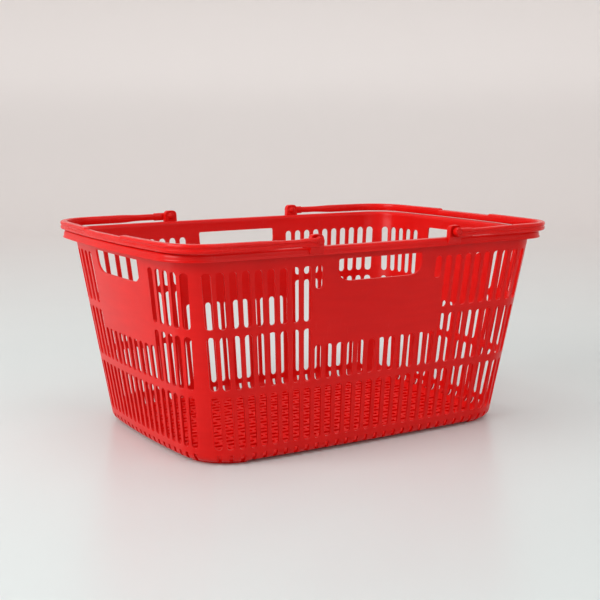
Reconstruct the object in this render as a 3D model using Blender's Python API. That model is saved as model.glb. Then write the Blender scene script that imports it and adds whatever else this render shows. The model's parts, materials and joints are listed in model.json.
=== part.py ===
"""Supermarket hand basket: one slotted tub with a rolled rim, two swing handles, four pivot pins.

Metres, +Z up, the long side along X, the floor it stands on at z = 0.
"""
import math

import bmesh
import bpy
from mathutils import Matrix, Vector

# ---- driving dimensions -------------------------------------------------------------------
RIM_TOP = 0.2380                       # top face of the rim
SKIRT_LOW = 0.2290                     # lower edge of the rim's down-turned skirt
WALL_T = 0.0025                        # wall and floor thickness
FLOOR_Z = 0.0030                       # underside of the floor, above the feet
Z_LOW, Z_HIGH = 0.0025, 0.2175         # heights at which the wall plan is given
WALL_LOW = (0.2180, 0.1499, 0.0051, 0.0104, 0.0597)    # half length, half width, bows, corner radius
WALL_HIGH = (0.2485, 0.1704, 0.0080, 0.0119, 0.0389)
SKIRT = (0.2650, 0.1818, 0.0080, 0.0119, 0.0490)       # the same for the outside of the skirt
ROWS = ((0.0186, 0.0796), (0.0868, 0.1473), (0.1548, 0.2168))   # the three rows of slots
PANEL_LOW = 0.1274                     # slots under the label panels stop here
SHORT_SLOT_LOW = 0.1905                # the short slot beside each hand hole on a long side
HOLE_HIGH = 0.2220                     # top of the hand holes
# Lower edge of a hand hole from its middle out: column and height, on a long and a short side.
HOLE_CORNERS_LONG = ((2.825, 0.1968), (3.175, 0.1985), (3.825, 0.2080))
HOLE_CORNERS_SHORT = ((2.825, 0.1955), (3.175, 0.1974), (3.825, 0.2084))
LONG_COLUMNS, SHORT_COLUMNS = 15, 10   # columns of slots from the middle of a side to its end
LONG_PANEL, SHORT_PANEL = 6, 5         # columns that the label panels cover
LONG_PITCH = (0.01336, 0.01500)        # at the bottom and at the top of the slots
SHORT_PITCH = (0.01245, 0.01565)
SLOT_SHARE = 0.65                      # width of a slot over the pitch
NOTCH_SHARE = 0.35                     # width of a notch over the pitch
EDGE_INSET, EDGE_TOP = 0.0070, 0.0115  # how far the sloped bottom edge stands in, and where it ends
EDGE_INSET_IN = 0.0082                 # the same on the inside
NOTCH_ENDS = ((0.0041, 0.0061), (0.0102, 0.0011))   # height and inset of a notch's two ends
NOTCH_DEPTH = 0.0060                   # reach of its cutter to either side of the slope
FLOOR_SLOT_PITCH, FLOOR_SLOT_W = 0.0130, 0.0064
FLOOR_SLOT_ROWS = 10                   # rows to either side of the middle
FLOOR_SLOT_REACH, FLOOR_SLOT_TAPER, FLOOR_TAPER_FROM = 0.1900, 0.75, 0.0950
FLOOR_BAR_HALF = 0.0030                # half width of the bar across the middle of the floor
FOOT_H, FOOT_ROOT = 0.0030, 0.0010     # height of a foot, and how far it goes up into the floor
FOOT_START, FOOT_END = 0.1000, 0.1570  # from the middle of the short side and of the long side
FOOT_OUT, FOOT_IN = 0.0095, 0.0185     # insets of its two edges
FOOT_STEPS = 6

BAND_HIGH = 0.2240                     # top of the slotted part of the wall
RIM_PLAN_Z = 0.2300                    # height at which the wall's plan meets the rim
# Rim, from the wall's outer face round to its inner face: share of the way out, height, inset.
RIM_PROFILE = ((0.0, 0.2352, 0.0), (0.76, 0.2352, 0.0), (0.82, SKIRT_LOW, 0.0),
               (1.0, SKIRT_LOW, 0.0), (0.985, 0.2352, 0.0), (0.86, RIM_TOP, 0.0),
               (0.10, RIM_TOP, WALL_T), (0.0, 0.2368, WALL_T))

LUG_X, LUG_IN, LUG_OUT = 0.0940, 0.1770, 0.1834
LUG_LOW, LUG_TOP, LUG_HALF = 0.2300, 0.2520, 0.0092
LUG_FLAT, LUG_ROUND = 0.0030, 0.0050    # half length of a lug's flat top, radius beside it
PIN_Z, PIN_R = 0.2450, 0.0024
PIN_HEAD_IN, PIN_HEAD_OUT, PIN_HEAD_T = 0.0034, 0.0036, 0.0015
BORE_PAST = 0.0040                     # how far the cutters of the bores run past each face
CLEAR = 0.0003                         # gap between parts that touch
TINY = 1e-6
SHARP_FROM = math.radians(50)

BAR_A, BAR_B, BAR_BOW_LONG, BAR_BOW_SHORT, BAR_R = 0.2612, 0.1880, 0.0094, 0.0119, 0.0470
ARM_W, ARM_LOW, ARM_HIGH = 0.0062, 0.2398, 0.2478
ARM_IN = LUG_OUT + CLEAR               # inner face of an arm beside its lug
BLOCK_END, BLOCK_GROW, BLOCK_TURN = 0.0200, 0.0009, 0.0003   # the deeper end of an arm: its length
# from the pivot, how much it grows up and down, and how far it turns in towards the bar
GRIP_W, GRIP_LOW, GRIP_HIGH = 0.0084, 0.2384, 0.2486
BAR_RISE = 0.0004                      # how far the bar beside the grip stands above the grip's foot
GRIP_DROP = 0.0022                     # how far the grip's top lies below the bar's
GRIP_REACH = 0.0520                    # half length of the hand grip
ARM_END = 0.1500                       # where the arms thicken into the bar
BAR_CHAMFER = 0.0019
BAR_STEP = 0.0120                      # spacing of the stations outside the corners
CORNER_X, CORNER_Y = (0.1900, 0.2550), 0.1200
EYE_R, EYE_PROUD = 0.0049, 0.0003      # round end of an arm, proud of its outer face

# ---- scene --------------------------------------------------------------------------------
for old in list(bpy.data.objects):
    bpy.data.objects.remove(old, do_unlink=True)
scene = bpy.context.scene
parts = bpy.data.collections.new("shopping_basket")
cutters = bpy.data.collections.new("cutters")
for group in (parts, cutters):
    scene.collection.children.link(group)


def material(name, colour, roughness, metallic=0.0):
    made = bpy.data.materials.new(name)
    made.use_nodes = True
    shader = made.node_tree.nodes["Principled BSDF"]
    shader.inputs["Base Color"].default_value = (*colour, 1.0)
    shader.inputs["Roughness"].default_value = roughness
    shader.inputs["Metallic"].default_value = metallic
    return made


TUB_PLASTIC = material("tub_plastic", (0.55, 0.010, 0.008), 0.38)
HANDLE_PLASTIC = material("handle_plastic", (0.60, 0.014, 0.011), 0.34)
PIN_PLASTIC = material("pin_plastic", (0.50, 0.012, 0.010), 0.42)


# ---- plan curves --------------------------------------------------------------------------
def quadrant(half_l, half_w, bow_l, bow_s, radius, steps=24):
    """Points from the middle of a short side (+X) to the middle of a long side (+Y)."""
    cx, cy = half_l - radius, half_w - radius
    for _ in range(8):
        turn_s, turn_l = 2 * bow_s * cy / half_w**2, 2 * bow_l * cx / half_l**2
        cx = half_l - bow_s * (cy / half_w) ** 2 - radius * math.sqrt(1 + turn_s**2)
        cy = half_w - bow_l * (cx / half_l) ** 2 - radius * math.sqrt(1 + turn_l**2)
    first, last = math.atan(turn_s), math.pi / 2 - math.atan(turn_l)
    arc = [(cx + radius * math.cos(first + (last - first) * i / steps),
            cy + radius * math.sin(first + (last - first) * i / steps)) for i in range(steps + 1)]
    short = [(half_l - bow_s * (y / half_w) ** 2, y)
             for y in (arc[0][1] * i / 12 for i in range(12))]
    long = [(x, half_w - bow_l * (x / half_l) ** 2)
            for x in (arc[-1][0] * (1 - i / 24) for i in range(1, 25))]
    return [Vector(p) for p in short + arc + long]


def along(points, distance):
    """The point this far along a polyline, and the outward normal there."""
    gone = 0.0
    for start, end in zip(points, points[1:]):
        step = (end - start).length
        if gone + step >= distance or end is points[-1]:
            heading = (end - start) / step
            return start + heading * (distance - gone), Vector((heading.y, -heading.x))
        gone += step


def length(points):
    return sum((b - a).length for a, b in zip(points, points[1:]))


def between(low, high, z):
    share = (z - Z_LOW) / (Z_HIGH - Z_LOW)
    return [a + (b - a) * share for a, b in zip(low, high)]


def pitches(z):
    share = (z - ROWS[0][0]) / (ROWS[2][1] - ROWS[0][0])
    return tuple(a + (b - a) * share for a, b in (LONG_PITCH, SHORT_PITCH))


# Signs of x and y in each quarter, anticlockwise seen from above.
QUARTERS = ((1, 1), (-1, 1), (-1, -1), (1, -1))
PLANS = {}


def plan(z):
    key = round(z, 6)
    if key not in PLANS:
        curve = quadrant(*between(WALL_LOW, WALL_HIGH, z))
        PLANS[key] = (curve, length(curve))
    return PLANS[key]


def wall_point(line, z, inset=0.0):
    """A line of the wall at a height: line = (quarter, from the long side?, columns from the middle)."""
    quarter, on_long, column = line
    curve, whole = plan(z)
    long_pitch, short_pitch = pitches(z)
    distance = whole - column * long_pitch if on_long else column * short_pitch
    spot, normal = along(curve, distance)
    spot = spot - normal * inset
    sign_x, sign_y = QUARTERS[quarter]
    return Vector((spot.x * sign_x, spot.y * sign_y, z))


def lines_of_quarter(quarter):
    """Edges of every slot in one quarter, from the short side's middle to the long side's middle."""
    half = SLOT_SHARE / 2
    short = [(quarter, False, i + 0.5 + side) for i in range(SHORT_COLUMNS) for side in (-half, half)]
    long = [(quarter, True, i + 0.5 + side)
            for i in reversed(range(LONG_COLUMNS)) for side in (half, -half)]
    found = short + long
    return found if quarter in (0, 2) else found[::-1]


LINES = [line for quarter in range(4) for line in lines_of_quarter(quarter)]
COUNT = len(LINES)


def strip_column(i):
    """The column whose slots this strip holds, or None for the rib or post beside it."""
    (q1, l1, c1), (q2, l2, c2) = LINES[i], LINES[(i + 1) % COUNT]
    if q1 == q2 and l1 == l2 and abs(abs(c1 - c2) - SLOT_SHARE) < TINY:
        return l1, (c1 + c2) / 2
    return None


def hole_low(line):
    """Lower edge of the hand hole on a line, or None outside it."""
    _, on_long, column = line
    for edge, z in HOLE_CORNERS_LONG if on_long else HOLE_CORNERS_SHORT:
        if column <= edge + TINY:
            return z
    return None


def openings(i):
    """Openings of a strip, lowest first: (low, low, high, high) on its first and second line."""
    column = strip_column(i)
    found = []
    if column:
        on_long, place = column
        under_panel = place < (LONG_PANEL if on_long else SHORT_PANEL)
        found.append((ROWS[0][0],) * 2 + (ROWS[0][1],) * 2)
        top = PANEL_LOW if under_panel else ROWS[1][1]
        found.append((ROWS[1][0],) * 2 + (top,) * 2)
        if not under_panel:
            found.append((ROWS[2][0],) * 2 + (ROWS[2][1],) * 2)
        elif on_long and place > LONG_PANEL - 1:
            found.append((SHORT_SLOT_LOW,) * 2 + (ROWS[2][1],) * 2)
    lows = hole_low(LINES[i]), hole_low(LINES[(i + 1) % COUNT])
    if None not in lows:
        found.append(lows + (HOLE_HIGH,) * 2)
    return found


def build_tub():
    """The tub without its notches, floor slots, feet and lugs, as one closed surface."""
    mesh = bmesh.new()
    store = {}

    def at(kind, i, z, inset=0.0):
        key = (kind, i % COUNT, round(z, 6), round(inset, 6))
        if key not in store:
            store[key] = mesh.verts.new(wall_point(LINES[i % COUNT], z, inset))
        return store[key]

    levels = [{EDGE_TOP, BAND_HIGH} for _ in range(COUNT)]
    for i in range(COUNT):
        for low1, low2, high1, high2 in openings(i):
            levels[i] |= {low1, high1}
            levels[(i + 1) % COUNT] |= {low2, high2}

    def face(corners, flip):
        mesh.faces.new(corners[::-1] if flip else corners)

    def patch(i, low, high, inset, flip):
        """Solid wall of a strip between two slanting edges, with every vertex on its two sides."""
        j = (i + 1) % COUNT
        left = [z for z in sorted(levels[i]) if low[0] - TINY <= z <= high[0] + TINY]
        right = [z for z in sorted(levels[j]) if low[1] - TINY <= z <= high[1] + TINY]
        face([at("w", i, z, inset) for z in reversed(left)]
             + [at("w", j, z, inset) for z in right], flip)

    def side(i, low, high, turn):
        """The cut face of an opening along one line."""
        found = [z for z in sorted(levels[i % COUNT]) if low - TINY <= z <= high + TINY]
        outer = [at("w", i, z) for z in found]
        inner = [at("w", i, z, WALL_T) for z in reversed(found)]
        face(outer + inner, turn)

    for i in range(COUNT):
        j = (i + 1) % COUNT
        low = (EDGE_TOP, EDGE_TOP)
        for low1, low2, high1, high2 in openings(i):
            for inset, flip in ((0.0, False), (WALL_T, True)):
                patch(i, low, (low1, low2), inset, flip)
            face([at("w", i, low1), at("w", j, low2), at("w", j, low2, WALL_T),
                  at("w", i, low1, WALL_T)], False)
            face([at("w", i, high1), at("w", j, high2), at("w", j, high2, WALL_T),
                  at("w", i, high1, WALL_T)], True)
            before, after = openings(i - 1), openings(j)
            spans_hole = high1 == HOLE_HIGH
            if not (spans_hole and any(o[3] == HOLE_HIGH for o in before)):
                side(i, low1, high1, True)
            if not (spans_hole and any(o[2] == HOLE_HIGH for o in after)):
                side(j, low2, high2, False)
            low = (high1, high2)
        for inset, flip in ((0.0, False), (WALL_T, True)):
            patch(i, low, (BAND_HIGH, BAND_HIGH), inset, flip)

    # Bottom edge: one sloping facet outside and one inside.
    floor_in = FLOOR_Z + WALL_T
    for i in range(COUNT):
        j = (i + 1) % COUNT
        face([at("under", i, FLOOR_Z, EDGE_INSET), at("w", i, EDGE_TOP), at("w", j, EDGE_TOP),
              at("under", j, FLOOR_Z, EDGE_INSET)], True)
        face([at("floor", i, floor_in, EDGE_INSET_IN), at("w", i, EDGE_TOP, WALL_T),
              at("w", j, EDGE_TOP, WALL_T), at("floor", j, floor_in, EDGE_INSET_IN)], False)
    face([at("under", i, FLOOR_Z, EDGE_INSET) for i in reversed(range(COUNT))], False)
    face([at("floor", i, floor_in, EDGE_INSET_IN) for i in range(COUNT)], False)

    # Rim: fewer stations than the wall, each on one of the wall's lines.
    stations = [i for i in range(COUNT) if rim_station(i)]
    skirt = quadrant(*SKIRT)
    skirt_length = length(skirt)

    def rim(i, share, z, inset=0.0):
        """A point of the rim, a share of the way from the wall out to the skirt's face."""
        key = ("rim", i, share, z, inset)
        if key not in store:
            quarter, on_long, column = LINES[i]
            curve, whole = plan(min(z, RIM_PLAN_Z))
            long_pitch, short_pitch = pitches(BAND_HIGH)
            distance = whole - column * long_pitch if on_long else column * short_pitch
            spot, normal = along(curve, distance)
            edge, _ = along(skirt, skirt_length * distance / whole)
            spot = spot - normal * inset
            spot = spot + (edge - spot) * share
            sign_x, sign_y = QUARTERS[quarter]
            store[key] = mesh.verts.new((spot.x * sign_x, spot.y * sign_y, z))
        return store[key]

    for n, i in enumerate(stations):
        j = stations[(n + 1) % len(stations)]
        span = [k % COUNT for k in range(i, (j if j > i else j + COUNT) + 1)]
        for inset, level, flip in ((0.0, RIM_PROFILE[0], False), (WALL_T, RIM_PROFILE[-1], True)):
            corners = [rim(i, *level)] + [at("w", k, BAND_HIGH, inset) for k in span] + [rim(j, *level)]
            face(corners, flip)
        for low, high in zip(RIM_PROFILE, RIM_PROFILE[1:]):
            face([rim(i, *high), rim(i, *low), rim(j, *low), rim(j, *high)], False)
    return mesh_object("tub", mesh, TUB_PLASTIC)


def rim_station(i):
    """One line in six along a side, and nearly every line round a corner."""
    _, on_long, column = LINES[i]
    if column % 1 < 0.5:
        return column > (LONG_COLUMNS - 1 if on_long else SHORT_COLUMNS - 2)
    return int(column) % 3 == 0 or column > (LONG_COLUMNS if on_long else SHORT_COLUMNS) - 2


def mesh_object(name, mesh, surface=None, group=parts):
    bmesh.ops.recalc_face_normals(mesh, faces=mesh.faces)
    data = bpy.data.meshes.new(name)
    mesh.to_mesh(data)
    mesh.free()
    made = bpy.data.objects.new(name, data)
    group.objects.link(made)
    if surface:
        data.materials.append(surface)
    if group is cutters:
        made.hide_render = True
        made.display_type = 'WIRE'
    return made


def box(mesh, x1, x2, y1, y2, z1, z2):
    made = bmesh.ops.create_cube(mesh, size=1.0)["verts"]
    bmesh.ops.scale(mesh, vec=(x2 - x1, y2 - y1, z2 - z1), verts=made)
    bmesh.ops.translate(mesh, vec=((x1 + x2) / 2, (y1 + y2) / 2, (z1 + z2) / 2), verts=made)


def prism(mesh, outline, shift):
    """A closed outline (list of 3D points) pushed along a vector."""
    face = mesh.faces.new([mesh.verts.new(p) for p in outline])
    made = bmesh.ops.extrude_face_region(mesh, geom=[face])["geom"]
    moved = [item for item in made if isinstance(item, bmesh.types.BMVert)]
    bmesh.ops.translate(mesh, vec=shift, verts=moved)


def cylinder(mesh, x, y1, y2, z, radius, sides=12):
    """A cylinder along Y from y1 to y2."""
    place = Matrix.Translation((x, (y1 + y2) / 2, z)) @ Matrix.Rotation(math.pi / 2, 4, 'X')
    bmesh.ops.create_cone(mesh, cap_ends=True, segments=sides, radius1=radius, radius2=radius,
                          depth=abs(y2 - y1), matrix=place)


def boolean(target, other, operation):
    step = target.modifiers.new(other.name, 'BOOLEAN')
    step.operation = operation
    step.solver = 'EXACT'
    step.object = other


def smooth(made):
    made.data.shade_smooth()
    made.data.set_sharp_from_angle(angle=SHARP_FROM)


tub = build_tub()

# Notches through the bottom edge, under every column of slots.
notches = bmesh.new()
for i in filter(strip_column, range(COUNT)):
    (quarter, on_long, c1), c2 = LINES[i], LINES[(i + 1) % COUNT][2]
    sides = [(c1 + c2) / 2 + side * NOTCH_SHARE / 2 for side in (-1, 1)]
    low, high = ([wall_point((quarter, on_long, column), z, inset) for column in sides]
                 for z, inset in NOTCH_ENDS)
    normal = (low[1] - low[0]).cross(high[0] - low[0]).normalized()
    prism(notches, [p - normal * NOTCH_DEPTH for p in (*low, *reversed(high))],
          normal * NOTCH_DEPTH * 2)
notch_cutter = mesh_object("notch_cutter", notches, group=cutters)
boolean(tub, notch_cutter, 'DIFFERENCE')

# Floor slots: rows along X, each in two lengths.
slots = bmesh.new()
for row in range(-FLOOR_SLOT_ROWS, FLOOR_SLOT_ROWS):
    y = (row + 0.5) * FLOOR_SLOT_PITCH
    reach = FLOOR_SLOT_REACH - max(0.0, abs(y) - FLOOR_TAPER_FROM) * FLOOR_SLOT_TAPER
    for x1, x2 in ((-reach, -FLOOR_BAR_HALF), (FLOOR_BAR_HALF, reach)):
        box(slots, x1, x2, y - FLOOR_SLOT_W / 2, y + FLOOR_SLOT_W / 2, 0.0, EDGE_TOP)
slot_cutter = mesh_object("floor_slot_cutter", slots, group=cutters)
boolean(tub, slot_cutter, 'DIFFERENCE')

# Feet: a curved pad under each corner.
feet = bmesh.new()
for quarter in range(4):
    curve, whole = plan(FLOOR_Z)
    sign_x, sign_y = QUARTERS[quarter]
    outer, inner = [], []
    for i in range(FOOT_STEPS + 1):
        gone = FOOT_START + (whole - FOOT_END - FOOT_START) * i / FOOT_STEPS
        spot, normal = along(curve, gone)
        for inset, kept in ((FOOT_OUT, outer), (FOOT_IN, inner)):
            place = spot - normal * inset
            kept.append((place.x * sign_x, place.y * sign_y, 0.0))
    prism(feet, outer + inner[::-1], (0, 0, FOOT_H + FOOT_ROOT))
feet_solid = mesh_object("feet_solid", feet, group=cutters)
boolean(tub, feet_solid, 'UNION')

# Lugs for the handles on the long sides of the rim, and their bores.
lugs, bores = bmesh.new(), bmesh.new()
for sign_x in (-1, 1):
    for sign_y in (-1, 1):
        outline = [(LUG_HALF, LUG_LOW), (LUG_HALF, RIM_TOP)]
        outline += [(LUG_FLAT + LUG_ROUND * math.cos(math.pi * i / 8),
                     LUG_TOP - LUG_ROUND + LUG_ROUND * math.sin(math.pi * i / 8)) for i in range(5)]
        outline += [(-x, z) for x, z in reversed(outline)]
        prism(lugs, [(sign_x * LUG_X + x, sign_y * LUG_IN, z) for x, z in outline],
              (0, sign_y * (LUG_OUT - LUG_IN), 0))
        cylinder(bores, sign_x * LUG_X, sign_y * (LUG_IN - BORE_PAST),
                 sign_y * (LUG_OUT + BORE_PAST), PIN_Z, PIN_R + CLEAR)
lugs_solid = mesh_object("lugs_solid", lugs, group=cutters)
bore_cutter = mesh_object("bore_cutter", bores, group=cutters)
boolean(tub, lugs_solid, 'UNION')
boolean(tub, bore_cutter, 'DIFFERENCE')


# ---- handles ------------------------------------------------------------------------------
def short_side(y):
    """A point of the bar's centre line beside the short side of the rim."""
    return Vector((BAR_A - BAR_BOW_SHORT * (y / BAR_B) ** 2, y))


def half_path():
    """Centre line of the +X handle from the end of its grip to its +Y pivot."""
    block = Vector((LUG_X + BLOCK_END, ARM_IN + ARM_W / 2 - BLOCK_TURN))
    kept = [short_side(GRIP_REACH)]
    for spot in quadrant(BAR_A, BAR_B, BAR_BOW_LONG, BAR_BOW_SHORT, BAR_R, steps=10):
        in_corner = CORNER_X[0] < spot.x < CORNER_X[1] and spot.y > CORNER_Y
        far_on = (spot - kept[-1]).length > BAR_STEP
        if spot.y > kept[0].y and spot.x > block.x + BAR_STEP / 2 and (in_corner or far_on):
            kept.append(spot)
    return kept + [block + Vector((BLOCK_GROW, 0)), block, Vector((LUG_X, ARM_IN + ARM_W / 2))]


def section(width, low, high):
    """Eight corners of a bar section: across the bar, height."""
    w, cut = width / 2, BAR_CHAMFER
    return [(-w, low + cut), (-w + cut, low), (w - cut, low), (w, low + cut),
            (w, high - cut), (w - cut, high), (-w + cut, high), (-w, high - cut)]


def section_at(spot):
    if spot.x < LUG_X + BLOCK_END + TINY:
        return section(ARM_W, ARM_LOW - BLOCK_GROW, ARM_HIGH + BLOCK_GROW)
    if spot.x < ARM_END:
        return section(ARM_W, ARM_LOW, ARM_HIGH)
    if abs(spot.y) < GRIP_REACH:
        return section(GRIP_W, GRIP_LOW, GRIP_HIGH - GRIP_DROP)
    return section(GRIP_W, GRIP_LOW + BAR_RISE, GRIP_HIGH)


def build_handle(name, sign):
    """One handle lying out along the rim: its origin is on the pivot axis."""
    half = half_path()
    grip = [short_side(GRIP_REACH * i / 3) for i in (-2, -1, 0, 1, 2)]
    path = [Vector((p.x, -p.y)) for p in reversed(half)] + grip + half
    mesh = bmesh.new()
    rings = []
    for n, spot in enumerate(path):
        heading = (path[min(n + 1, len(path) - 1)] - path[max(n - 1, 0)]).normalized()
        if n in (0, len(path) - 1):
            heading = Vector((1.0 if n == 0 else -1.0, 0.0))
        out = Vector((heading.y, -heading.x))
        rings.append([mesh.verts.new(((spot.x + out.x * a) * sign, spot.y + out.y * a, z))
                      for a, z in section_at(spot)])
    for first, second in zip(rings, rings[1:]):
        for i in range(len(first)):
            j = (i + 1) % len(first)
            mesh.faces.new((first[i], first[j], second[j], second[i]))
    mesh.faces.new(rings[0][::-1])
    mesh.faces.new(rings[-1])
    bmesh.ops.translate(mesh, vec=(-sign * LUG_X, 0, -PIN_Z), verts=mesh.verts)
    made = mesh_object(name, mesh, HANDLE_PLASTIC)
    made.location = (sign * LUG_X, 0, PIN_Z)

    eyes, holes = bmesh.new(), bmesh.new()
    for side in (-1, 1):
        cylinder(eyes, sign * LUG_X, side * ARM_IN, side * (ARM_IN + ARM_W + EYE_PROUD),
                 PIN_Z, EYE_R, 28)
        cylinder(holes, sign * LUG_X, side * (ARM_IN - BORE_PAST),
                 side * (ARM_IN + ARM_W + BORE_PAST), PIN_Z, PIN_R + CLEAR)
    eye_solid = mesh_object(name + "_eyes", eyes, group=cutters)
    hole_cutter = mesh_object(name + "_holes", holes, group=cutters)
    boolean(made, eye_solid, 'UNION')
    boolean(made, hole_cutter, 'DIFFERENCE')
    smooth(made)


build_handle("handle_left", -1)
build_handle("handle_right", 1)


# ---- pivot pins ---------------------------------------------------------------------------
def build_pin(name, sign_x, sign_y):
    """A headed pin through arm and lug, turned about its own axis and laid along Y."""
    inner, outer = LUG_IN - CLEAR, ARM_IN + ARM_W + EYE_PROUD + CLEAR
    edge = PIN_HEAD_T / 2
    profile = ((0.0, inner - PIN_HEAD_T), (PIN_HEAD_IN - edge, inner - PIN_HEAD_T),
               (PIN_HEAD_IN, inner - edge), (PIN_HEAD_IN, inner), (PIN_R, inner), (PIN_R, outer),
               (PIN_HEAD_OUT, outer), (PIN_HEAD_OUT, outer + edge),
               (PIN_HEAD_OUT - edge, outer + PIN_HEAD_T), (0.0, outer + PIN_HEAD_T))
    mesh = bmesh.new()
    verts = [mesh.verts.new((radius, y - LUG_OUT, 0.0)) for radius, y in profile]
    edges = [mesh.edges.new(pair) for pair in zip(verts, verts[1:])]
    bmesh.ops.spin(mesh, geom=verts + edges, cent=(0, 0, 0), axis=(0, 1, 0),
                   angle=2 * math.pi, steps=24, use_merge=True)
    bmesh.ops.remove_doubles(mesh, verts=mesh.verts, dist=1e-6)
    bmesh.ops.scale(mesh, vec=(1, sign_y, 1), verts=mesh.verts)
    made = mesh_object(name, mesh, PIN_PLASTIC)
    made.location = (sign_x * LUG_X, sign_y * LUG_OUT, PIN_Z)
    smooth(made)


for side_name, sign_x in (("left", -1), ("right", 1)):
    for end_name, sign_y in (("front", -1), ("back", 1)):
        build_pin(f"pivot_pin_{side_name}_{end_name}", sign_x, sign_y)
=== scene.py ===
"""A slotted supermarket hand basket: moulded tub, two swing handles and their pivot pins."""
import json
import math

import bmesh
import bpy
from mathutils import Matrix, Vector

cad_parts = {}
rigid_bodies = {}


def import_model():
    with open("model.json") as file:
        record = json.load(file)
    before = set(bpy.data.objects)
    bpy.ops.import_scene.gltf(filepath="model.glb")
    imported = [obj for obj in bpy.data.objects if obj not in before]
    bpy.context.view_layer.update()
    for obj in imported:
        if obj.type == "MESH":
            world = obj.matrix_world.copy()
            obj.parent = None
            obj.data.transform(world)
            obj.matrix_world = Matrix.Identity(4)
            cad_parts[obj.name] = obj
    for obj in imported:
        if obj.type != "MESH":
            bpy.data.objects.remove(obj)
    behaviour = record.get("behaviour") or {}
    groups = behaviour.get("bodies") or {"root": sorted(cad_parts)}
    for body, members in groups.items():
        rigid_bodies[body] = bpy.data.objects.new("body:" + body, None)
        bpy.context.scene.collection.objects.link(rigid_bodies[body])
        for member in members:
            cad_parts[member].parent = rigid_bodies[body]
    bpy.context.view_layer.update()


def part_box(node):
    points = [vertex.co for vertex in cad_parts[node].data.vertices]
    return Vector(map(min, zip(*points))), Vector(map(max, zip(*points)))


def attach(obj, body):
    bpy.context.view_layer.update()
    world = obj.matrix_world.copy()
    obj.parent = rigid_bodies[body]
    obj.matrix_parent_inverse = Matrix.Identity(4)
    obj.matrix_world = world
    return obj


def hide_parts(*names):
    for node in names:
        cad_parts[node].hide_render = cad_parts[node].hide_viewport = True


for left_over in list(bpy.data.objects):
    bpy.data.objects.remove(left_over, do_unlink=True)
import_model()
_, tub_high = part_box("tub")
pin_low, pin_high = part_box("pivot_pin_right_back")

# ---- sizes of the moulding, in metres ------------------------------------------------------
WALL = 0.0025                                  # thickness of wall and floor
FLOOR_LOW = 0.0030                             # underside of the floor, above the feet
# A plan is its half length, half width, the bows of its long and short sides, and corner radius.
WALL_PLAN_LOW = (0.2180, 0.1499, 0.0051, 0.0104, 0.0597)
WALL_PLAN_HIGH = (0.2485, 0.1704, 0.0080, 0.0119, 0.0389)
PLAN_LOW, PLAN_HIGH = 0.0025, 0.2175           # heights of those two plans of the wall
RIM_PLAN = (0.2650, 0.1818, 0.0080, 0.0119, 0.0490)
HANDLE_PLAN = (0.2612, 0.1880, 0.0094, 0.0119, 0.0470)

LOW_ROW, MIDDLE_ROW, HIGH_ROW = (0.0186, 0.0796), (0.0868, 0.1473), (0.1548, 0.2168)
UNDER_LABEL = 0.1274                           # slots of the middle row stop here under a label
BESIDE_HOLE = 0.1905                           # foot of the short slot beside a long side's hole
PITCHES = {"short": (0.01245, 0.01565), "long": (0.01336, 0.01500)}    # at bottom and top
SHORT_SLOTS, LONG_SLOTS = 10, 15               # from the middle of a side to its corner post
LABEL_SLOTS = {"short": 5, "long": 6}          # how many of those a label panel covers
SHORT_SLOT = 5                                 # the column of the slot beside a long side's hole
HALF_SLOT = 0.325                              # half a slot's width, as a share of the spacing
SLOT_STEPS = (-1.0, -0.86, -0.54, 0.0, 0.54, 0.86, 1.0)
SLOT_ROUND = 0.0042                            # corner radius at the ends of a slot
NOTCH_SHARE = 0.6                              # part of a slot's width that runs on as a notch
POST_STEPS = 7

HOLE_REACH = 3.825                             # half length of a hand hole, in slot spacings
HOLE_LOWS, HOLE_HIGH = {"short": 0.1955, "long": 0.1968}, 0.2220
HOLE_SIDE_LOW = 0.2080                         # where its lower edge has risen to at the ends
HOLE_LOW_ROUND, HOLE_HIGH_ROUND = 0.0170, 0.0022

HEEL_RISE, HEEL_INSET, HEEL_TOP = 0.0085, 0.0070, 0.0126
HEEL_TURNS = (0, 16, 32, 48, 64, 90)           # degrees round the bottom edge
RIM_TOP = 0.2380
RIM_PLAN_HEIGHT = 0.2300                       # the wall's plan that the rim starts from
RIM_PITCH_HEIGHT = 0.2250                      # the height whose slot spacing the rim keeps

ROW_SPACING, ROW_GAP, ROWS = 0.0130, 0.0064, 10            # floor openings across the basket
CELL_SPACING, CELL_BAR, CELLS = 0.0192, 0.0040, 10         # and along it
FLOOR_MARGIN = 0.0062                          # how far inside the wall's plan the floor ends
FLOOR_BORDER = 0.0120                          # the least plain floor at the end of a row
FLOOR_SINK = 0.00005                           # keeps the floor's faces off the wall's
CROWD = 0.0003                                 # spacing of the columns that a row has no room for

FOOT_START, FOOT_END = 0.1000, 0.1570          # from the middles of the short and long sides
FOOT_OUT, FOOT_IN = 0.0095, 0.0185             # insets of a foot's edges
FOOT_ROOT = 0.0008                             # how far a foot goes up into the floor

PIVOT_X = (pin_low.x + pin_high.x) / 2
PIVOT_Z = (pin_low.z + pin_high.z) / 2
LUG_INNER, LUG_OUTER, LUG_LOW = 0.1770, 0.1834, 0.2304
LUG_FOOT, LUG_HEAD, LUG_ROUND = 0.0091, 0.0079, 0.0049     # half widths, corner radius
LUG_WAIST = 0.0006                             # height above the rim where a lug's boss ends
LUG_SLOPE = 0.0028                             # how far that boss draws in towards its foot
LUG_BORDER, LUG_SUNK = 0.0024, 0.0012          # border and depth of the sunk outer face

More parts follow.
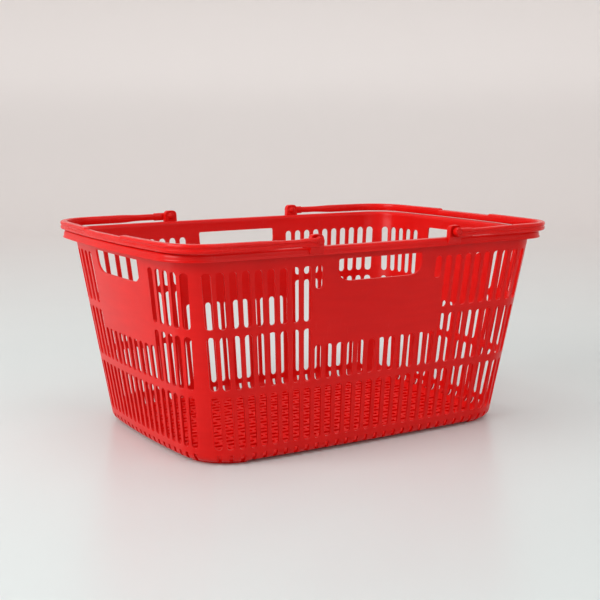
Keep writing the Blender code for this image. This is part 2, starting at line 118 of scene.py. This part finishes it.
ARM_INNER, ARM_WIDTH = LUG_OUTER + 0.0003, 0.0062
ARM_LOW, ARM_HIGH = 0.2398, 0.2478
BLOCK_REACH, BLOCK_GROW, BLOCK_STEP = 0.0200, 0.0009, 0.0010   # the deeper end of an arm
BAR_WIDTH, BAR_LOW, BAR_HIGH = 0.0084, 0.2385, 0.2486
ARM_ENDS, BAR_STARTS = 0.1350, 0.1650          # the arm thickens into the bar between these
BAR_ROUND = 0.0018
GRIP_REACH, GRIP_EDGE, GRIP_DROP = 0.0520, 0.0012, 0.0022
GROOVE_WIDE, GROOVE_NARROW, GROOVE_DEEP = 0.0014, 0.0008, 0.0007   # half widths, depth
RING_CORNERS = 16                              # corner points of the bar's section
EYE_RADIUS, EYE_ROUND = 0.0048, 0.0007
PIN_RADIUS, HEAD_RADIUS, END_RADIUS = 0.0024, 0.0044, 0.0027
PIN_GAP = 0.0003                               # between a pin's head and its lug

# ---- size of the studio, in metres
BOARD_RADIUS, BOARD_COVE, BOARD_HIGH = 3.2, 0.9, 3.4


# ---- plan curves ---------------------------------------------------------------------------
def quarter_plan(half_l, half_w, bow_l, bow_s, radius):
    """A quarter of a bowed rectangle with round corners, from +X's middle to +Y's middle."""
    cx, cy = half_l - radius, half_w - radius
    for _ in range(8):                         # settles where the corner arcs meet the bows
        turn_s, turn_l = 2 * bow_s * cy / half_w**2, 2 * bow_l * cx / half_l**2
        cx = half_l - bow_s * (cy / half_w) ** 2 - radius * math.sqrt(1 + turn_s**2)
        cy = half_w - bow_l * (cx / half_l) ** 2 - radius * math.sqrt(1 + turn_l**2)
    first, last = math.atan(turn_s), math.pi / 2 - math.atan(turn_l)
    turns = [first + (last - first) * i / 40 for i in range(41)]
    arc = [Vector((cx + radius * math.cos(t), cy + radius * math.sin(t))) for t in turns]
    short = [Vector((half_l - bow_s * (y / half_w) ** 2, y))
             for y in (arc[0].y * i / 20 for i in range(20))]
    long = [Vector((x, half_w - bow_l * (x / half_l) ** 2))
            for x in (arc[-1].x * (1 - i / 30) for i in range(1, 31))]
    return short + arc + long


def run_length(line):
    return sum((b - a).length for a, b in zip(line, line[1:]))


def point_at(line, distance):
    """The point this far along a line, and the outward normal there."""
    gone = 0.0
    for start, end in zip(line, line[1:]):
        step = (end - start).length
        if gone + step >= distance or end is line[-1]:
            heading = (end - start) / step
            return start + heading * (distance - gone), Vector((heading.y, -heading.x))
        gone += step


def blend_of(low, high, share):
    return low + (high - low) * share


wall_plans = {}


def wall_plan(z):
    """The wall's outer face at a height, as a quarter's line and its length."""
    key = round(z, 5)
    if key not in wall_plans:
        share = (z - PLAN_LOW) / (PLAN_HIGH - PLAN_LOW)
        line = quarter_plan(*(blend_of(a, b, share)
                              for a, b in zip(WALL_PLAN_LOW, WALL_PLAN_HIGH)))
        wall_plans[key] = line, run_length(line)
    return wall_plans[key]


def spacing(side, z):
    """Slot spacing at a height."""
    return blend_of(*PITCHES[side], (z - LOW_ROW[0]) / (HIGH_ROW[1] - LOW_ROW[0]))


# ---- the wall: one sheet, wrapped round the plan -------------------------------------------
# A station is (side, slot spacings from the side's middle, offset in its slot or None).
short_stations = [("short", i + 0.5 + HALF_SLOT * s, s)
                  for i in range(SHORT_SLOTS) for s in SLOT_STEPS]
long_stations = [("long", i + 0.5 + HALF_SLOT * s, s)
                 for i in reversed(range(LONG_SLOTS)) for s in reversed(SLOT_STEPS)]
post_stations = [("post", i / POST_STEPS, None) for i in range(1, POST_STEPS)]
STATIONS = [("short", 0.0, None), *short_stations, *post_stations, *long_stations,
            ("long", 0.0, None)]


def distance_along(station, z, whole):
    """How far along a quarter of the wall a station lies, at this height."""
    side, place, _ = station
    if side == "short":
        return place * spacing("short", z)
    if side == "long":
        return whole - place * spacing("long", z)
    first = (SHORT_SLOTS - 0.5 + HALF_SLOT) * spacing("short", z)
    last = whole - (LONG_SLOTS - 0.5 + HALF_SLOT) * spacing("long", z)
    return blend_of(first, last, place)


def slot_round(station, z):
    """How far a slot's end stands back at this station, so that the end is round."""
    side, _, step = station
    if step is None:
        return SLOT_ROUND
    half = HALF_SLOT * spacing(side, z)
    past = max(0.0, abs(step) * half - (half - SLOT_ROUND))
    return SLOT_ROUND - math.sqrt(max(0.0, SLOT_ROUND**2 - past**2))


def in_hole(station):
    return station[0] != "post" and station[1] <= HOLE_REACH + 1e-6


def hole_edge(station, z, reach, height):
    """Height of the rounded corner of a hand hole at this station."""
    side, place, _ = station
    past = max(0.0, reach - (HOLE_REACH - place) * spacing(side, z)) / reach
    return height * (1 - math.sqrt(max(0.0, 1 - past * past)))


def foot_of(z):
    """Height of a slot's lower end at each station; head_of gives its upper end."""
    return lambda station: z + slot_round(station, z)


def head_of(z):
    return lambda station: z - slot_round(station, z)


def low_of_hole(station):
    if in_hole(station):
        low = HOLE_LOWS[station[0]]
        return low + hole_edge(station, low, HOLE_LOW_ROUND, HOLE_SIDE_LOW - low)
    return BESIDE_HOLE + slot_round(station, BESIDE_HOLE)


def high_of_hole(station):
    if in_hole(station):
        return HOLE_HIGH - hole_edge(station, HOLE_HIGH, HOLE_HIGH_ROUND, HOLE_HIGH_ROUND)
    return HOLE_HIGH


def heel(turn):
    """The rounded bottom edge, seen from inside: (height, inset)."""
    t = math.radians(turn)
    z = FLOOR_LOW + HEEL_RISE * (1 - math.cos(t)) + WALL * math.cos(t)
    return z, HEEL_INSET * (1 - math.sin(t)) + WALL * math.sin(t)


# Levels of the sheet, upwards: the heel, the ends of the slots, plain wall, and then the rim.
HEEL = [heel(turn) for turn in HEEL_TURNS] + [(HEEL_TOP, WALL)]
SLOT_ENDS = [foot_of(LOW_ROW[0]), head_of(LOW_ROW[1]), foot_of(MIDDLE_ROW[0]),
             head_of(UNDER_LABEL), head_of(MIDDLE_ROW[1]), foot_of(HIGH_ROW[0]), low_of_hole,
             head_of(HIGH_ROW[1]), high_of_hole]
# Bands between neighbouring slot ends, counted from 0 at the foot of the low row.
ALWAYS_OPEN = (0, 2)                           # the low row, and the middle row up to a label
MIDDLE_ROW_TOP = 3
HIGH_ROW_BANDS = (5, 6)
SHORT_SLOT_BAND = 6
HOLE_BANDS = (6, 7)
WALL_HEIGHTS = [0.2250, 0.2290]
# Each point of the rim: its share of the way from the wall out to the rim's face, and height.
RIM_SHAPE = ((0.0, 0.2325), (0.012, 0.2348), (0.045, 0.2365), (0.10, 0.2376), (0.18, 0.2380),
             (0.68, 0.2380), (0.78, 0.2378), (0.86, 0.2370), (0.91, 0.2356), (0.935, 0.2338),
             (0.942, 0.2320), (0.950, 0.2311), (0.968, 0.2305), (0.998, 0.2300), (1.0, 0.2291))
LEVEL_COUNT = len(HEEL) + len(SLOT_ENDS) + len(WALL_HEIGHTS) + len(RIM_SHAPE)
FIRST_SLOT = len(HEEL)
rim_line = quarter_plan(*RIM_PLAN)
rim_length = run_length(rim_line)


def sheet_point(i, level):
    """Where a corner of the flat sheet lies on the tub's inner face or the top of its rim."""
    station = STATIONS[i]
    if level < FIRST_SLOT:
        z, inset = HEEL[level]
    else:
        z, inset = 0.0, WALL
        level -= FIRST_SLOT
        if level < len(SLOT_ENDS):
            z = SLOT_ENDS[level](station)
        elif level < len(SLOT_ENDS) + len(WALL_HEIGHTS):
            z = WALL_HEIGHTS[level - len(SLOT_ENDS)]
        else:
            share, z = RIM_SHAPE[level - len(SLOT_ENDS) - len(WALL_HEIGHTS)]
            line, whole = wall_plan(RIM_PLAN_HEIGHT)
            gone = distance_along(station, RIM_PITCH_HEIGHT, whole)
            spot, normal = point_at(line, gone)
            edge, _ = point_at(rim_line, rim_length * gone / whole)
            spot = spot - normal * inset
            spot = spot + (edge - spot) * share
            return Vector((spot.x, spot.y, z))
    line, whole = wall_plan(z)
    spot, normal = point_at(line, distance_along(station, z, whole))
    spot = spot - normal * inset
    return Vector((spot.x, spot.y, z))


def is_open(i, level):
    """Whether the cell between station i and the next, above this level, is cut away."""
    here, after = STATIONS[i], STATIONS[i + 1]
    band = level - FIRST_SLOT
    if in_hole(here) and in_hole(after) and band in HOLE_BANDS:
        return True
    same_slot = (here[0] == after[0] and here[2] is not None and after[2] is not None
                 and abs(here[1] - after[1]) < HALF_SLOT)
    if not same_slot:
        return False
    if level < FIRST_SLOT:
        return level < FIRST_SLOT - 1 and max(abs(here[2]), abs(after[2])) < NOTCH_SHARE
    column = math.floor(here[1])
    under_label = column < LABEL_SLOTS[here[0]]
    if band in ALWAYS_OPEN:
        return True
    if band == MIDDLE_ROW_TOP:
        return not under_label
    if band in HIGH_ROW_BANDS:
        beside_hole = here[0] == "long" and column == SHORT_SLOT and band == SHORT_SLOT_BAND
        return not under_label or beside_hole
    return False


def four_quarters(mesh):
    """Mirrors a quarter of the basket to make all of it."""
    for axis in ("X", "Y"):
        everything = mesh.verts[:] + mesh.edges[:] + mesh.faces[:]
        bmesh.ops.mirror(mesh, geom=everything, merge_dist=1e-5, axis=axis)
    bmesh.ops.remove_doubles(mesh, verts=mesh.verts, dist=1e-5)
    bmesh.ops.recalc_face_normals(mesh, faces=mesh.faces)


def wall_mesh():
    """A flat grid with its openings cut, bent into the inner face of the tub and its rim."""
    mesh = bmesh.new()
    columns, rows = len(STATIONS) - 1, LEVEL_COUNT - 1
    bmesh.ops.create_grid(mesh, x_segments=columns, y_segments=rows, size=0.5)
    cell = {vert: (round((vert.co.x + 0.5) * columns), round((vert.co.y + 0.5) * rows))
            for vert in mesh.verts}
    cut = [face for face in mesh.faces
           if is_open(*(min(cell[v][axis] for v in face.verts) for axis in (0, 1)))]
    for vert, (i, level) in cell.items():
        vert.co = sheet_point(i, level)
    bmesh.ops.delete(mesh, geom=cut, context='FACES')
    four_quarters(mesh)
    return mesh


# ---- node materials ------------------------------------------------------------------------
class Wire:
    """An output socket of a material; sums on it add the nodes that work them out."""

    def __init__(self, finish, socket):
        self.finish, self.socket = finish, socket

    def maths(self, operation, *values):
        return self.finish.node("ShaderNodeMath", {"operation": operation},
                                dict(enumerate(values)))

    def __add__(self, other):
        return self.maths("ADD", self, other)

    def __sub__(self, other):
        return self.maths("SUBTRACT", self, other)

    def __rsub__(self, other):
        return self.maths("SUBTRACT", other, self)

    def __mul__(self, other):
        return self.maths("MULTIPLY", self, other)

    def __truediv__(self, other):
        return self.maths("DIVIDE", self, other)

    __radd__, __rmul__ = __add__, __mul__


class Finish:
    """A material built round one Principled shader."""

    def __init__(self, name, **constants):
        self.material = bpy.data.materials.new(name)
        self.material.use_nodes = True
        self.tree = self.material.node_tree
        self.shader = self.tree.nodes["Principled BSDF"]
        for socket, value in constants.items():
            self.shader.inputs[socket.replace("_", " ")].default_value = value

    def node(self, kind, settings=None, sockets=None, output=0):
        """Adds any node: its settings first, then the values or links of its sockets."""
        made = self.tree.nodes.new(kind)
        for name, value in (settings or {}).items():
            if name == "stops":
                ramp = made.color_ramp.elements
                while len(ramp) < len(value):
                    ramp.new(0.5)
                for stop, (place, shade) in zip(ramp, value):
                    stop.position, stop.color = place, (shade, shade, shade, 1.0)
            else:
                setattr(made, name, value)
        for name, value in (sockets or {}).items():
            self.feed(made.inputs[name], value)
        return Wire(self, made.outputs[output])

    def feed(self, socket, value):
        if isinstance(value, Wire):
            self.tree.links.new(value.socket, socket)
        else:
            socket.default_value = value

    def shade(self, **sockets):
        for name, value in sockets.items():
            self.feed(self.shader.inputs[name.replace("_", " ")], value)
        return self.material

    def place(self, scale=(1.0, 1.0, 1.0)):
        """The spot on the object itself, in metres; output 3 is Object coordinates."""
        spot = self.node("ShaderNodeTexCoord", output=3)
        return self.node("ShaderNodeMapping", sockets={"Vector": spot, "Scale": scale})

    def noise(self, spot, scale, detail=3.0, roughness=0.5):
        return self.node("ShaderNodeTexNoise", sockets={
            "Vector": spot, "Scale": scale, "Detail": detail, "Roughness": roughness})

    def ramp(self, value, *stops):
        """Turns a value into grey levels: each stop is a place and its level."""
        return self.node("ShaderNodeValToRGB", {"stops": stops}, {"Fac": value})

    def colour_mix(self, share, low, high):
        """Mixes two colours: sockets 6 and 7 of a Mix node take them, and output 2 gives them."""
        return self.node("ShaderNodeMix", {"data_type": "RGBA"}, {0: share, 6: low, 7: high},
                         output=2)

    def bump(self, height, strength, distance, under=None):
        sockets = {"Height": height, "Strength": strength, "Distance": distance}
        if under is not None:
            sockets["Normal"] = under
        return self.node("ShaderNodeBump", sockets=sockets)


SCUFFED = (0.80, 0.20, 0.18)                   # what the plastic turns to where it is rubbed


def red_polypropylene(name, deep, light, sheen, scuffing, gloss=0.20):
    """Semi-gloss moulded plastic: faint flow clouds, mould grain, fine scuffs, a slow ripple."""
    finish = Finish(name, IOR=1.49, Specular_IOR_Level=gloss, Subsurface_Weight=0.30,
                    Subsurface_Radius=(1.0, 0.06, 0.05), Subsurface_Scale=0.004)
    spot = finish.place()
    clouds = finish.noise(spot, 14.0, 4.0, 0.6)
    flow = finish.noise(finish.place((6.0, 6.0, 40.0)), 3.0, 3.0)
    grain = finish.noise(spot, 1400.0, 2.0)
    ripple = finish.noise(spot, 55.0, 2.0)
    scuffs = finish.ramp(finish.noise(finish.place((1.0, 1.0, 0.12)), 420.0, 5.0, 0.7),
                         (0.60, 0.0), (0.72, 1.0))
    worn = finish.ramp(finish.noise(spot, 22.0, 3.0), (0.45, 0.0), (0.75, 1.0))
    tint = clouds * 0.55 + flow * 0.45
    colour = finish.colour_mix(finish.ramp(tint, (0.30, 0.0), (0.70, 1.0)),
                               (*deep, 1.0), (*light, 1.0))
    pale = tuple(0.5 * part + 0.5 * level for part, level in zip(light, SCUFFED))
    colour = finish.colour_mix(scuffs * worn * scuffing, colour, (*pale, 1.0))
    roughness = sheen + (clouds - 0.5) * 0.10 + scuffs * worn * 0.16 + (grain - 0.5) * 0.05
    relief = finish.bump(ripple, 0.10, 0.0006)
    relief = finish.bump(grain, 0.07, 0.00006, relief)
    return finish.shade(Base_Color=colour, Roughness=roughness, Normal=relief)


TUB_RED = red_polypropylene("moulded_red", (0.610, 0.0030, 0.0022), (0.700, 0.0060, 0.0042),
                            sheen=0.31, scuffing=0.35)
# The same plastic as the tub; its lighter red is painted glow, standing in for light that shines
# through the thin lattice.
FLOOR_RED_PAINTED_GLOW = red_polypropylene("floor_red_painted_glow", (0.720, 0.0032, 0.0024), (0.800, 0.0062, 0.0044),
                              sheen=0.46, scuffing=0.30, gloss=0.06)
HANDLE_RED = red_polypropylene("handle_red", (0.620, 0.0034, 0.0024), (0.720, 0.0066, 0.0046),
                               sheen=0.24, scuffing=0.30)
PIN_RED = red_polypropylene("pin_red", (0.580, 0.0034, 0.0026), (0.680, 0.0062, 0.0045),
                            sheen=0.36, scuffing=0.30)


# ---- pieces --------------------------------------------------------------------------------
def smooth_object(name, mesh, material):
    data = bpy.data.meshes.new(name)
    mesh.to_mesh(data)
    mesh.free()
    for polygon in data.polygons:
        polygon.use_smooth = True
    data.materials.append(material)
    made = bpy.data.objects.new(name, data)
    bpy.context.scene.collection.objects.link(made)
    return made


def piece(name, mesh, material, body, slot, *stands_for, edge, thickness=None):
    """A finished piece: its wall's thickness, its worn edges and its body; the slot argument is
    not used.
    """
    made = smooth_object(name, mesh, material)
    if thickness:
        wall = made.modifiers.new("wall", 'SOLIDIFY')
        wall.thickness, wall.offset, wall.use_even_offset = thickness, -1.0, True
    worn_edge = made.modifiers.new("edge", 'BEVEL')
    worn_edge.width, worn_edge.segments, worn_edge.limit_method = edge, 2, 'ANGLE'
    worn_edge.angle_limit = math.radians(40)
    worn_edge.harden_normals = True
    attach(made, body)
    if stands_for:
        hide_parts(*stands_for)


piece("tub_wall", wall_mesh(), TUB_RED, "tub", "tub_plastic", "tub", thickness=WALL, edge=0.00045)


def floor_mesh():
    """A lattice of oblong openings, cut to the plan of the heel."""
    mesh = bmesh.new()
    line, _ = wall_plan(FLOOR_LOW)
    widest = line[-1].y - FLOOR_MARGIN
    rows = [0.0] + [(n + 0.5) * ROW_SPACING + side * ROW_GAP / 2
                    for n in range(ROWS) for side in (-1, 1)]
    rows += [blend_of(rows[-1], widest, share) for share in (0.35, 0.7, 0.9, 1.0)]
    steps = [0.0] + [(n + 0.5) * CELL_SPACING + side * (CELL_SPACING - CELL_BAR) / 2
                     for n in range(CELLS) for side in (-1, 1)]
    bmesh.ops.create_grid(mesh, x_segments=len(steps), y_segments=len(rows) - 1, size=0.5)
    inner = [a - point_at([a, b], 0.0)[1] * FLOOR_MARGIN for a, b in zip(line, line[1:])]

    def reach(y):
        """Half length of the floor at this distance from its middle line."""
        for a, b in zip(inner, inner[1:]):
            if a.y <= y <= b.y:
                return blend_of(a.x, b.x, (y - a.y) / max(b.y - a.y, 1e-9))
        return inner[-1].x if y > inner[-1].y else inner[0].x

    place = {vert: (round((vert.co.x + 0.5) * len(steps)),
                    round((vert.co.y + 0.5) * (len(rows) - 1))) for vert in mesh.verts}
    cut = []
    for face in mesh.faces:
        i, j = (min(place[v][axis] for v in face.verts) for axis in (0, 1))
        in_opening = i % 2 and j % 2 and i + 1 < len(steps) and j < 2 * ROWS
        if in_opening and steps[i + 1] < reach(rows[j + 1]) - FLOOR_BORDER:
            cut.append(face)
    for vert, (i, j) in place.items():
        edge = reach(rows[j])
        x = min(steps[i], edge - CROWD * (len(steps) - i)) if i < len(steps) else edge
        vert.co = Vector((x, rows[j], FLOOR_LOW + WALL - FLOOR_SINK))
    bmesh.ops.delete(mesh, geom=cut, context='FACES')
    four_quarters(mesh)
    if sum(face.normal.z for face in mesh.faces) < 0:
        bmesh.ops.reverse_faces(mesh, faces=mesh.faces)
    return mesh


# The lattice's lighter red is painted glow from light shining through it.
piece("floor_lattice", floor_mesh(), FLOOR_RED_PAINTED_GLOW, "tub", "tub_plastic",
      thickness=WALL - 2 * FLOOR_SINK, edge=0.0004)


def feet_mesh():
    """A curved pad under each corner, following the heel."""
    mesh = bmesh.new()
    bmesh.ops.create_grid(mesh, x_segments=18, y_segments=1, size=0.5)
    line, whole = wall_plan(FLOOR_LOW)
    for vert in mesh.verts:
        share = vert.co.x + 0.5
        spot, normal = point_at(line, blend_of(FOOT_START, whole - FOOT_END, share))
        spot = spot - normal * (FOOT_OUT if vert.co.y > 0 else FOOT_IN)
        vert.co = Vector((spot.x, spot.y, 0.0))
    made = bmesh.ops.extrude_face_region(mesh, geom=mesh.faces[:])["geom"]
    bmesh.ops.translate(mesh, vec=(0, 0, FLOOR_LOW + FOOT_ROOT),
                        verts=[v for v in made if isinstance(v, bmesh.types.BMVert)])
    four_quarters(mesh)
    return mesh


piece("feet", feet_mesh(), TUB_RED, "tub", "tub_plastic", edge=0.0008)


def lug_mesh():
    """Four upright ears on the rim, each on a sloped boss and with a sunk outer face."""
    mesh = bmesh.new()
    bmesh.ops.create_cube(mesh, size=1.0)
    high = tub_high.z
    for vert in mesh.verts:
        half = LUG_HEAD if vert.co.z > 0 else LUG_FOOT
        vert.co = Vector((PIVOT_X + math.copysign(half, vert.co.x),
                          LUG_OUTER if vert.co.y > 0 else LUG_INNER,
                          high if vert.co.z > 0 else LUG_LOW))
    everything = mesh.verts[:] + mesh.edges[:] + mesh.faces[:]
    bmesh.ops.bisect_plane(mesh, geom=everything, plane_co=(0, 0, RIM_TOP + LUG_WAIST),
                           plane_no=(0, 0, 1))
    for vert in mesh.verts:
        if vert.co.z < RIM_TOP and vert.co.y > LUG_INNER + 0.001:
            vert.co.y = LUG_OUTER - LUG_SLOPE
    upper = [edge for edge in mesh.edges
             if all(abs(v.co.z - high) < 1e-6 for v in edge.verts)
             and abs(edge.verts[0].co.y - edge.verts[1].co.y) > 0.001]
    mesh.normal_update()
    bmesh.ops.bevel(mesh, geom=upper, offset=LUG_ROUND, segments=6, profile=0.5,
                    affect='EDGES', material=-1)
    outer = [face for face in mesh.faces if face.normal.y > 0.97]
    bmesh.ops.inset_region(mesh, faces=outer, thickness=LUG_BORDER, depth=-LUG_SUNK,
                           use_even_offset=True)
    four_quarters(mesh)
    return mesh


piece("lugs", lug_mesh(), TUB_RED, "tub", "tub_plastic", edge=0.0005)


# ---- handles -------------------------------------------------------------------------------
def handle_line():
    """The +X handle in plan, from its middle to a pivot: points, and the outward way at each."""
    line = quarter_plan(*HANDLE_PLAN)
    length = run_length(line)
    middle = ARM_INNER + ARM_WIDTH / 2
    stations = []
    gone = 0.0
    while gone < length:
        spot, normal = point_at(line, gone)
        if spot.x < PIVOT_X + BLOCK_REACH + 0.003 and spot.y > 0.1:
            break
        stations.append((spot, normal))
        near_step = abs(spot.y - GRIP_REACH) < 0.006 and spot.x > 0.2
        gone += 0.0008 if near_step else 0.004
    for past, drawn_in in ((BLOCK_REACH + BLOCK_STEP, 0.0004), (BLOCK_REACH, 0.0003),
                           (0.0100, 0.0001), (0.0, 0.0)):
        stations.append((Vector((PIVOT_X + past, middle - drawn_in)), Vector((0.0, 1.0))))
    return stations


def smooth_step(value, low, high):
    share = min(1.0, max(0.0, (value - low) / (high - low)))
    return share * share * (3 - 2 * share)


def handle_section(spot):
    """Corner points of the bar at a place in plan, as pairs of outward distance and height."""
    arm = 1.0 - smooth_step(spot.x, ARM_ENDS, BAR_STARTS)
    grip = 0.0
    if spot.x > 0.2:
        grip = 1.0 - smooth_step(spot.y, GRIP_REACH - GRIP_EDGE, GRIP_REACH + GRIP_EDGE)
    block_end = PIVOT_X + BLOCK_REACH
    block = BLOCK_GROW * (1.0 - smooth_step(spot.x, block_end, block_end + BLOCK_STEP))
    low = blend_of(BAR_LOW, ARM_LOW, arm) - block
    high = blend_of(BAR_HIGH, ARM_HIGH, arm) + block
    w, r = blend_of(BAR_WIDTH, ARM_WIDTH, arm) / 2, BAR_ROUND
    drop, groove = GRIP_DROP * grip, GROOVE_DEEP * (1 - grip)
    middle = (low + high) / 2
    return [(-w, low + r), (-w + r * 0.3, low + r * 0.3), (-w + r, low),
            (w - r, low), (w - r * 0.3, low + r * 0.3), (w, low + r),
            (w, middle - GROOVE_WIDE), (w - groove, middle - GROOVE_NARROW),
            (w - groove, middle + GROOVE_NARROW), (w, middle + GROOVE_WIDE),
            (w, high - r - drop * 0.4), (w - r * 0.3, high - r * 0.3 - drop * 0.6),
            (w - r, high - drop * 0.8), (-w + r, high - drop),
            (-w + r * 0.3, high - r * 0.3 - drop), (-w, high - r - drop)]


def handle_mesh(sign):
    """The bar, grown ring by ring from one pivot round to the other, with an eye at each end."""
    mesh = bmesh.new()
    half = handle_line()
    whole = [(Vector((p.x, -p.y)), Vector((n.x, -n.y))) for p, n in reversed(half[1:])] + half

    def ring_at(verts, spot, normal):
        for vert, (out, z) in zip(verts, handle_section(Vector((spot.x, abs(spot.y))))):
            vert.co = Vector((spot.x + normal.x * out, spot.y + normal.y * out, z))

    ring = bmesh.ops.create_circle(mesh, segments=RING_CORNERS, radius=0.001)["verts"]
    ring_at(ring, *whole[0])
    first = ring
    for spot, normal in whole[1:]:
        edges = [edge for edge in dict.fromkeys(e for v in ring for e in v.link_edges)
                 if edge.verts[0] in ring and edge.verts[1] in ring]
        grown = bmesh.ops.extrude_edge_only(mesh, edges=edges)["geom"]
        new = {v for v in grown if isinstance(v, bmesh.types.BMVert)}
        ring = [next(e.other_vert(v) for e in v.link_edges if e.other_vert(v) in new)
                for v in ring]
        ring_at(ring, spot, normal)
    for end in (first, ring):
        bmesh.ops.contextual_create(mesh, geom=end)
    if sign < 0:
        bmesh.ops.scale(mesh, vec=(-1, 1, 1), verts=mesh.verts)
    bmesh.ops.recalc_face_normals(mesh, faces=mesh.faces)
    add_eyes(mesh, sign)
    return mesh


def add_eyes(mesh, sign):
    """Round bosses that carry the pins at both ends of a handle."""
    turn = Matrix.Rotation(math.pi / 2, 4, 'X')
    for side in (-1, 1):
        middle = Matrix.Translation((sign * PIVOT_X, side * (ARM_INNER + ARM_WIDTH / 2), PIVOT_Z))
        made = bmesh.ops.create_cone(mesh, cap_ends=True, cap_tris=False, segments=36,
                                     radius1=EYE_RADIUS, radius2=EYE_RADIUS, depth=ARM_WIDTH,
                                     matrix=middle @ turn)["verts"]
        rims = [e for e in dict.fromkeys(e for v in made for e in v.link_edges)
                if abs(e.verts[0].co.y - e.verts[1].co.y) < 1e-6]
        bmesh.ops.bevel(mesh, geom=rims, offset=EYE_ROUND, segments=3, profile=0.5,
                        affect='EDGES', material=-1)


for side_name, sign in (("left", -1), ("right", 1)):
    piece(f"handle_{side_name}_bar", handle_mesh(sign), HANDLE_RED, f"handle_{side_name}",
          "handle_plastic", f"handle_{side_name}", edge=0.0004)


# ---- pins and turned shapes ----------------------------------------------------------------
def turned(profile, axis, steps):
    """A profile of points spun once round an axis through the origin."""
    mesh = bmesh.new()
    verts = [mesh.verts.new(point) for point in profile]
    edges = [mesh.edges.new(pair) for pair in zip(verts, verts[1:])]
    bmesh.ops.spin(mesh, geom=verts + edges, cent=(0, 0, 0), axis=axis, angle=2 * math.pi,
                   steps=steps, use_merge=True)
    bmesh.ops.remove_doubles(mesh, verts=mesh.verts, dist=1e-6)
    return mesh


def pin_mesh(sign_x, sign_y):
    """A pin with a low domed head on the inner side, through arm and ear, nearly flush outside."""
    inner, outer = LUG_INNER, ARM_INNER + ARM_WIDTH
    profile = ((0.0, inner - 0.0020), (0.0016, inner - 0.0019), (0.0030, inner - 0.0015),
               (0.0040, inner - 0.0010), (HEAD_RADIUS, inner - 0.0005),
               (HEAD_RADIUS, inner - PIN_GAP), (PIN_RADIUS, inner - PIN_GAP),
               (PIN_RADIUS, outer + 0.0001), (END_RADIUS, outer + 0.0001),
               (END_RADIUS, outer + 0.0003), (0.0025, outer + 0.0005), (0.0, outer + 0.0006))
    mesh = turned([(radius, y, 0.0) for radius, y in profile], (0, 1, 0), steps=32)
    bmesh.ops.scale(mesh, vec=(1, sign_y, 1), verts=mesh.verts)
    bmesh.ops.translate(mesh, vec=(sign_x * PIVOT_X, 0, PIVOT_Z), verts=mesh.verts)
    bmesh.ops.recalc_face_normals(mesh, faces=mesh.faces)
    return mesh


for side_name, sign_x in (("left", -1), ("right", 1)):
    for end_name, sign_y in (("front", -1), ("back", 1)):
        piece(f"pin_{side_name}_{end_name}", pin_mesh(sign_x, sign_y), PIN_RED, "tub",
              "pin_plastic", f"pivot_pin_{side_name}_{end_name}", edge=0.0002)


# ---- studio --------------------------------------------------------------------------------
def pale_board():
    """Matt board whose tone drifts from the floor under the basket out to the wall."""
    finish = Finish("pale_board", Specular_IOR_Level=0.45)
    spot = finish.place()
    away = finish.node("ShaderNodeVectorMath", {"operation": "LENGTH"}, {0: spot}, output=1)
    far = finish.ramp(away / BOARD_RADIUS, (0.18, 0.0), (0.74, 1.0))
    # The cool grey near the basket is painted to cancel the red light the basket throws onto the
    # floor; further out the tone warms to the wall's own colour.
    colour = finish.colour_mix(far, (0.655, 0.718, 0.720, 1.0), (0.795, 0.762, 0.750, 1.0))
    roughness = 0.30 + (finish.noise(spot, 6.0) - 0.5) * 0.08
    return finish.shade(Base_Color=colour, Roughness=roughness)


def sweep_mesh():
    """A flat round floor that curves up into a wall all the way round."""
    flat = BOARD_RADIUS - BOARD_COVE
    profile = [(0.0, 0.0), (0.7, 0.0), (1.6, 0.0), (flat, 0.0)]
    profile += [(flat + BOARD_COVE * math.sin(t), BOARD_COVE * (1 - math.cos(t)))
                for t in (math.pi / 2 * i / 16 for i in range(1, 17))]
    profile.append((BOARD_RADIUS, BOARD_HIGH))
    mesh = turned([(x, 0.0, z) for x, z in profile], (0, 0, 1), steps=96)
    bmesh.ops.recalc_face_normals(mesh, faces=mesh.faces)
    if sum(face.normal.z for face in mesh.faces if face.calc_center_median().z < 0.01) < 0:
        bmesh.ops.reverse_faces(mesh, faces=mesh.faces)
    return mesh


smooth_object("pale_sweep", sweep_mesh(), pale_board())


def soft_light(name, spot, target, size, power, colour):
    """A rectangular lamp at a spot, turned to its target; its power is in watts."""
    data = bpy.data.lights.new(name, 'AREA')
    data.shape, data.size, data.size_y = 'RECTANGLE', size[0], size[1]
    data.energy, data.color = power, colour
    made = bpy.data.objects.new(name, data)
    made.location = spot
    made.rotation_euler = (Vector(target) - Vector(spot)).to_track_quat('-Z', 'Y').to_euler()
    bpy.context.scene.collection.objects.link(made)


WARM, SOFT = (1.0, 0.985, 0.97), (1.0, 0.99, 0.98)
soft_light("window", (-2.3, 0.1, 1.25), (0, 0, 0.12), (1.6, 1.3), 43, WARM)
soft_light("ceiling", (-0.3, -0.5, 2.6), (0, 0, 0), (2.2, 2.0), 22, SOFT)
soft_light("wall_wash", (0.7, 1.2, 2.5), (1.75, 2.75, 0.3), (1.6, 0.8), 10, SOFT)
soft_light("front_fill", (0.5, -2.5, 1.3), (0, 0, 0.1), (1.8, 1.2), 12, SOFT)

world = bpy.data.worlds.new("room_light")
bpy.context.scene.world = world
world.use_nodes = True
room = world.node_tree.nodes["Background"].inputs
room["Color"].default_value, room["Strength"].default_value = (*WARM, 1.0), 0.45

lens = bpy.data.cameras.new("camera")
lens.lens, lens.sensor_width = 68.39, 36.0
camera = bpy.data.objects.new("camera", lens)
heading, dip = math.radians(31.81), math.radians(9.15)
camera.location = (-0.7446, -1.1963, 0.3753)
look = Vector((math.sin(heading) * math.cos(dip), math.cos(heading) * math.cos(dip),
               -math.sin(dip)))
camera.rotation_euler = look.to_track_quat('-Z', 'Y').to_euler()
bpy.context.scene.collection.objects.link(camera)
bpy.context.scene.camera = camera
bpy.context.scene.view_settings.view_transform = "Standard"

bpy.context.view_layer.update()
